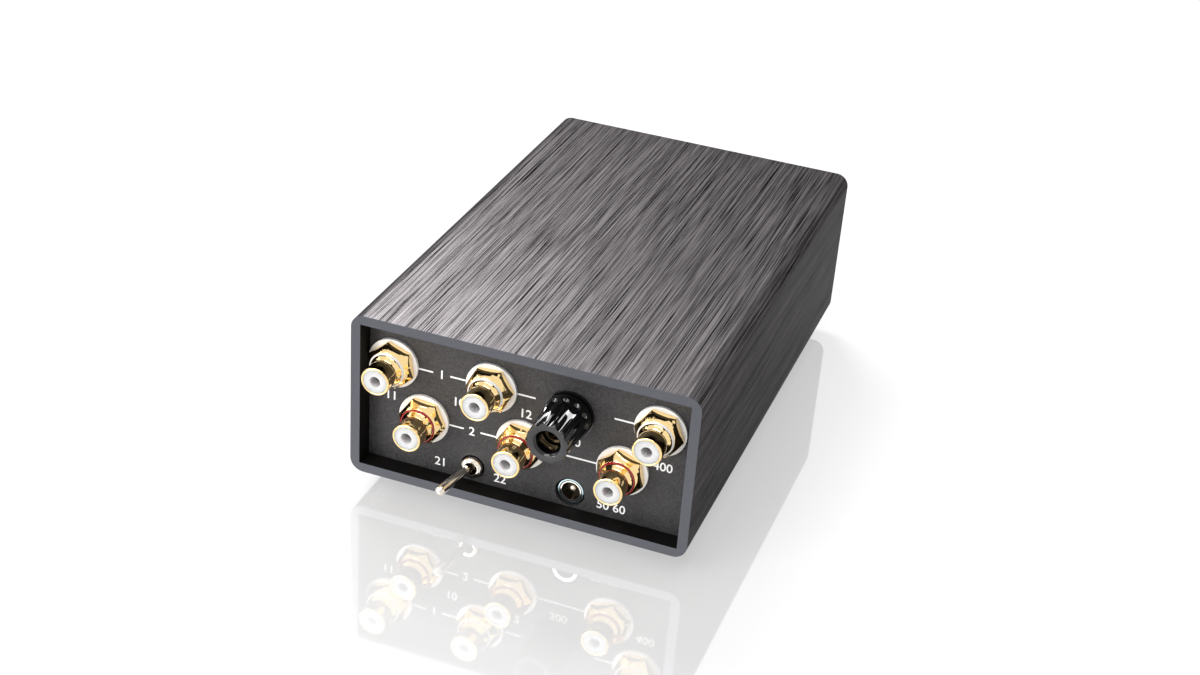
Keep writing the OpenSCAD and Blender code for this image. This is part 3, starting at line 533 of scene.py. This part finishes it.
class PREAMP_OT_post(bpy.types.Operator):
    """Polish the binding post and its fluted cap"""
    bl_idname = "preamp.post"
    bl_label = "Binding post"

    def execute(self, context):
        polished("post_base")
        polished("post_stud")
        polished("cap_liner", "cap_carrier")
        polished("post_cap", "cap")
        dress("post_inner_washer", "post_nut", "post_tag")
        return {"FINISHED"}


class PREAMP_OT_switch(bpy.types.Operator):
    """Polish the toggle switch"""
    bl_idname = "preamp.switch"
    bl_label = "Toggle switch"

    def execute(self, context):
        polished("switch_bushing")
        polished("switch_lever", "lever")
        dress("switch_body", "switch_tags")
        return {"FINISHED"}


class PREAMP_OT_jack(bpy.types.Operator):
    """Polish the power jack"""
    bl_idname = "preamp.jack"
    bl_label = "Power jack"

    def execute(self, context):
        polished("jack_body")
        polished("jack_nose", material=jack_metal(context.scene.preamp_colours))
        polished("jack_sleeve")
        polished("jack_pin")
        dress("jack_tags")
        return {"FINISHED"}


class PREAMP_OT_electronics(bpy.types.Operator):
    """Finish the circuit board, its components and the wires"""
    bl_idname = "preamp.electronics"
    bl_label = "Electronics"

    def execute(self, context):
        dress("circuit_board", "supply_capacitors", "coupling_capacitors",
              "film_capacitors", "amplifier_chips", "input_relays", "regulators",
              "resistors", "signal_wires", "earth_wires", "indicator_light")
        return {"FINISHED"}


class PREAMP_OT_print(bpy.types.Operator):
    """Print the lines and the plain numbers on the connector panel"""
    bl_idname = "preamp.print"
    bl_label = "Printed marks"

    def execute(self, context):
        sizes = context.scene.preamp_sizes
        bm = bmesh.new()
        for spans, height in ((UPPER_LINES, UPPER_ROW), (LOWER_LINES, LOWER_ROW)):
            for left, right in spans:
                place = Matrix.Translation((
                    (left + right) / 2 * MM, PANEL_FACE - sizes.ink / 2,
                    (height + TUBE_UNDERSIDE) * MM))
                shape = Matrix.Diagonal(((right - left) * MM, sizes.ink,
                                         sizes.line_width, 1.0))
                bmesh.ops.create_cube(bm, size=1.0, matrix=place @ shape)
        for text, x, z in NUMBERS:
            self.number(bm, text, x * MM, (z + TUBE_UNDERSIDE) * MM, sizes)
        material = printed_paint(context.scene.preamp_colours)
        add_piece("printed_marks", bm, "case", material=material)
        return {"FINISHED"}

    def number(self, bm, text, x, z, sizes):
        """Adds one number, centred on x and z, standing on the panel's face."""
        curve = bpy.data.curves.new("number", "FONT")
        curve.body = text
        curve.align_x = "CENTER"
        curve.extrude = HALF_DEPTH
        curve.offset = BOLDNESS
        holder = bpy.data.objects.new("number", curve)
        bpy.context.scene.collection.objects.link(holder)
        bpy.context.view_layer.update()
        mesh = bpy.data.meshes.new_from_object(
            holder.evaluated_get(bpy.context.evaluated_depsgraph_get()))
        bpy.data.objects.remove(holder)
        ys = [vertex.co.y for vertex in mesh.vertices]
        size = sizes.digit_height / (max(ys) - min(ys))
        middle = size * (max(ys) + min(ys)) / 2
        upright = Matrix(((size, 0, 0, x),
                          (0, 0, -sizes.ink, PANEL_FACE - sizes.ink / 2),
                          (0, size, 0, z - middle),
                          (0, 0, 0, 1)))
        mesh.transform(upright)
        bm.from_mesh(mesh)
        bpy.data.meshes.remove(mesh)


# ---------------------------------------------------------------- stage

def facing(place, target):
    """The turn that makes a light or panel at place face target."""
    return (Vector(place) - Vector(target)).to_track_quat("Z", "Y")


def area_light(name, place, target, width, height, power):
    """A soft rectangular light at place, turned to target."""
    data = bpy.data.lights.new(name, "AREA")
    data.shape = "RECTANGLE"
    data.size, data.size_y = width, height
    data.energy = power
    light = bpy.data.objects.new(name, data)
    light.location = place
    light.rotation_euler = facing(place, target).to_euler()
    light.visible_camera = False
    bpy.context.scene.collection.objects.link(light)


def card(name, place, target, width, height, glow, only):
    """A flat glowing panel that no camera sees, mirrored by shiny surfaces."""
    bm = bmesh.new()
    bmesh.ops.create_grid(bm, x_segments=1, y_segments=1, size=0.5,
                          matrix=Matrix.Translation(place)
                          @ facing(place, target).to_matrix().to_4x4()
                          @ Matrix.Diagonal((width, height, 1, 1)))
    material, g = new_material(name)
    g.output(g.add("Emission", {"Color": rgb((glow,) * 3), "Strength": 1.0}))
    panel = add_piece(name, bm, None, material=material)
    panel.visible_camera = panel.visible_diffuse = panel.visible_shadow = False
    if only:
        receivers = bpy.data.collections.new(name)
        receivers.objects.link(bpy.data.objects[only])
        panel.light_linking.receiver_collection = receivers


class PREAMP_OT_stage(bpy.types.Operator):
    """Set the camera, ground, lights and background"""
    bl_idname = "preamp.stage"
    bl_label = "Stage"

    def execute(self, context):
        scene = context.scene
        scene.view_settings.view_transform = "Standard"
        self.camera(scene)
        self.background(scene)
        bm = bmesh.new()
        bmesh.ops.create_grid(bm, x_segments=1, y_segments=1,
                              size=scene.preamp_sizes.ground / 2)
        ground = add_piece("ground", bm, None,
                           material=floor_material(scene.preamp_colours))
        for light in LIGHTS:
            area_light(*light)
        for reflector in CARDS:
            card(*reflector)
        return {"FINISHED"}

    def camera(self, scene):
        azimuth, elevation, roll = (math.radians(angle) for angle in CAMERA_TURN)
        back = Vector((math.sin(azimuth) * math.cos(elevation),
                       -math.cos(azimuth) * math.cos(elevation), math.sin(elevation)))
        data = bpy.data.cameras.new("Camera")
        data.sensor_width, data.lens = SENSOR_WIDTH, FOCAL_LENGTH
        data.clip_start = CLIP_START
        camera = bpy.data.objects.new("Camera", data)
        camera.location = CAMERA_TARGET + back * CAMERA_DISTANCE
        camera.rotation_euler = (back.to_track_quat("Z", "Y")
                                 @ Quaternion((0, 0, 1), roll)).to_euler()
        scene.collection.objects.link(camera)
        scene.camera = camera

    def background(self, scene):
        """White where it is seen, mirrored or looked through to, dimmer as a light."""
        world = bpy.data.worlds.new("Background")
        scene.world = world
        g = Graph(world)
        path = g.add("LightPath").socket.node.outputs
        straight, mirrored, through = (Value(g, path[kind]) for kind in (
            "Is Camera Ray", "Is Glossy Ray", "Is Transmission Ray"))
        seen = g.sum("MAXIMUM", g.sum("MAXIMUM", straight, mirrored), through)
        sky = g.add("Background", {"Color": (1, 1, 1, 1),
                                   "Strength": seen * (1 - SKY_LIGHT) + SKY_LIGHT})
        g.output(sky, "World")


OPERATORS = (PREAMP_OT_case, PREAMP_OT_sockets, PREAMP_OT_post, PREAMP_OT_switch,
             PREAMP_OT_jack, PREAMP_OT_electronics, PREAMP_OT_print, PREAMP_OT_stage)


class PREAMP_PT_panel(bpy.types.Panel):
    """Lists the steps that dress the preamp"""
    bl_idname = "PREAMP_PT_panel"
    bl_label = "Preamp"
    bl_space_type = "VIEW_3D"
    bl_region_type = "UI"
    bl_category = "Preamp"

    def draw(self, context):
        for step in OPERATORS:
            self.layout.operator(step.bl_idname)
        for group in (context.scene.preamp_sizes, context.scene.preamp_colours):
            for name in group.__annotations__:
                self.layout.prop(group, name)


CLASSES = (PreampSizes, PreampColours) + OPERATORS + (PREAMP_PT_panel,)


def register():
    for cls in CLASSES:
        bpy.utils.register_class(cls)
    bpy.types.Scene.preamp_sizes = bpy.props.PointerProperty(type=PreampSizes)
    bpy.types.Scene.preamp_colours = bpy.props.PointerProperty(type=PreampColours)


def unregister():
    del bpy.types.Scene.preamp_colours
    del bpy.types.Scene.preamp_sizes
    for cls in reversed(CLASSES):
        bpy.utils.unregister_class(cls)


def main():
    register()
    for step in OPERATORS:
        group, name = step.bl_idname.split(".")
        getattr(getattr(bpy.ops, group), name)()


if __name__ == "__main__":
    main()
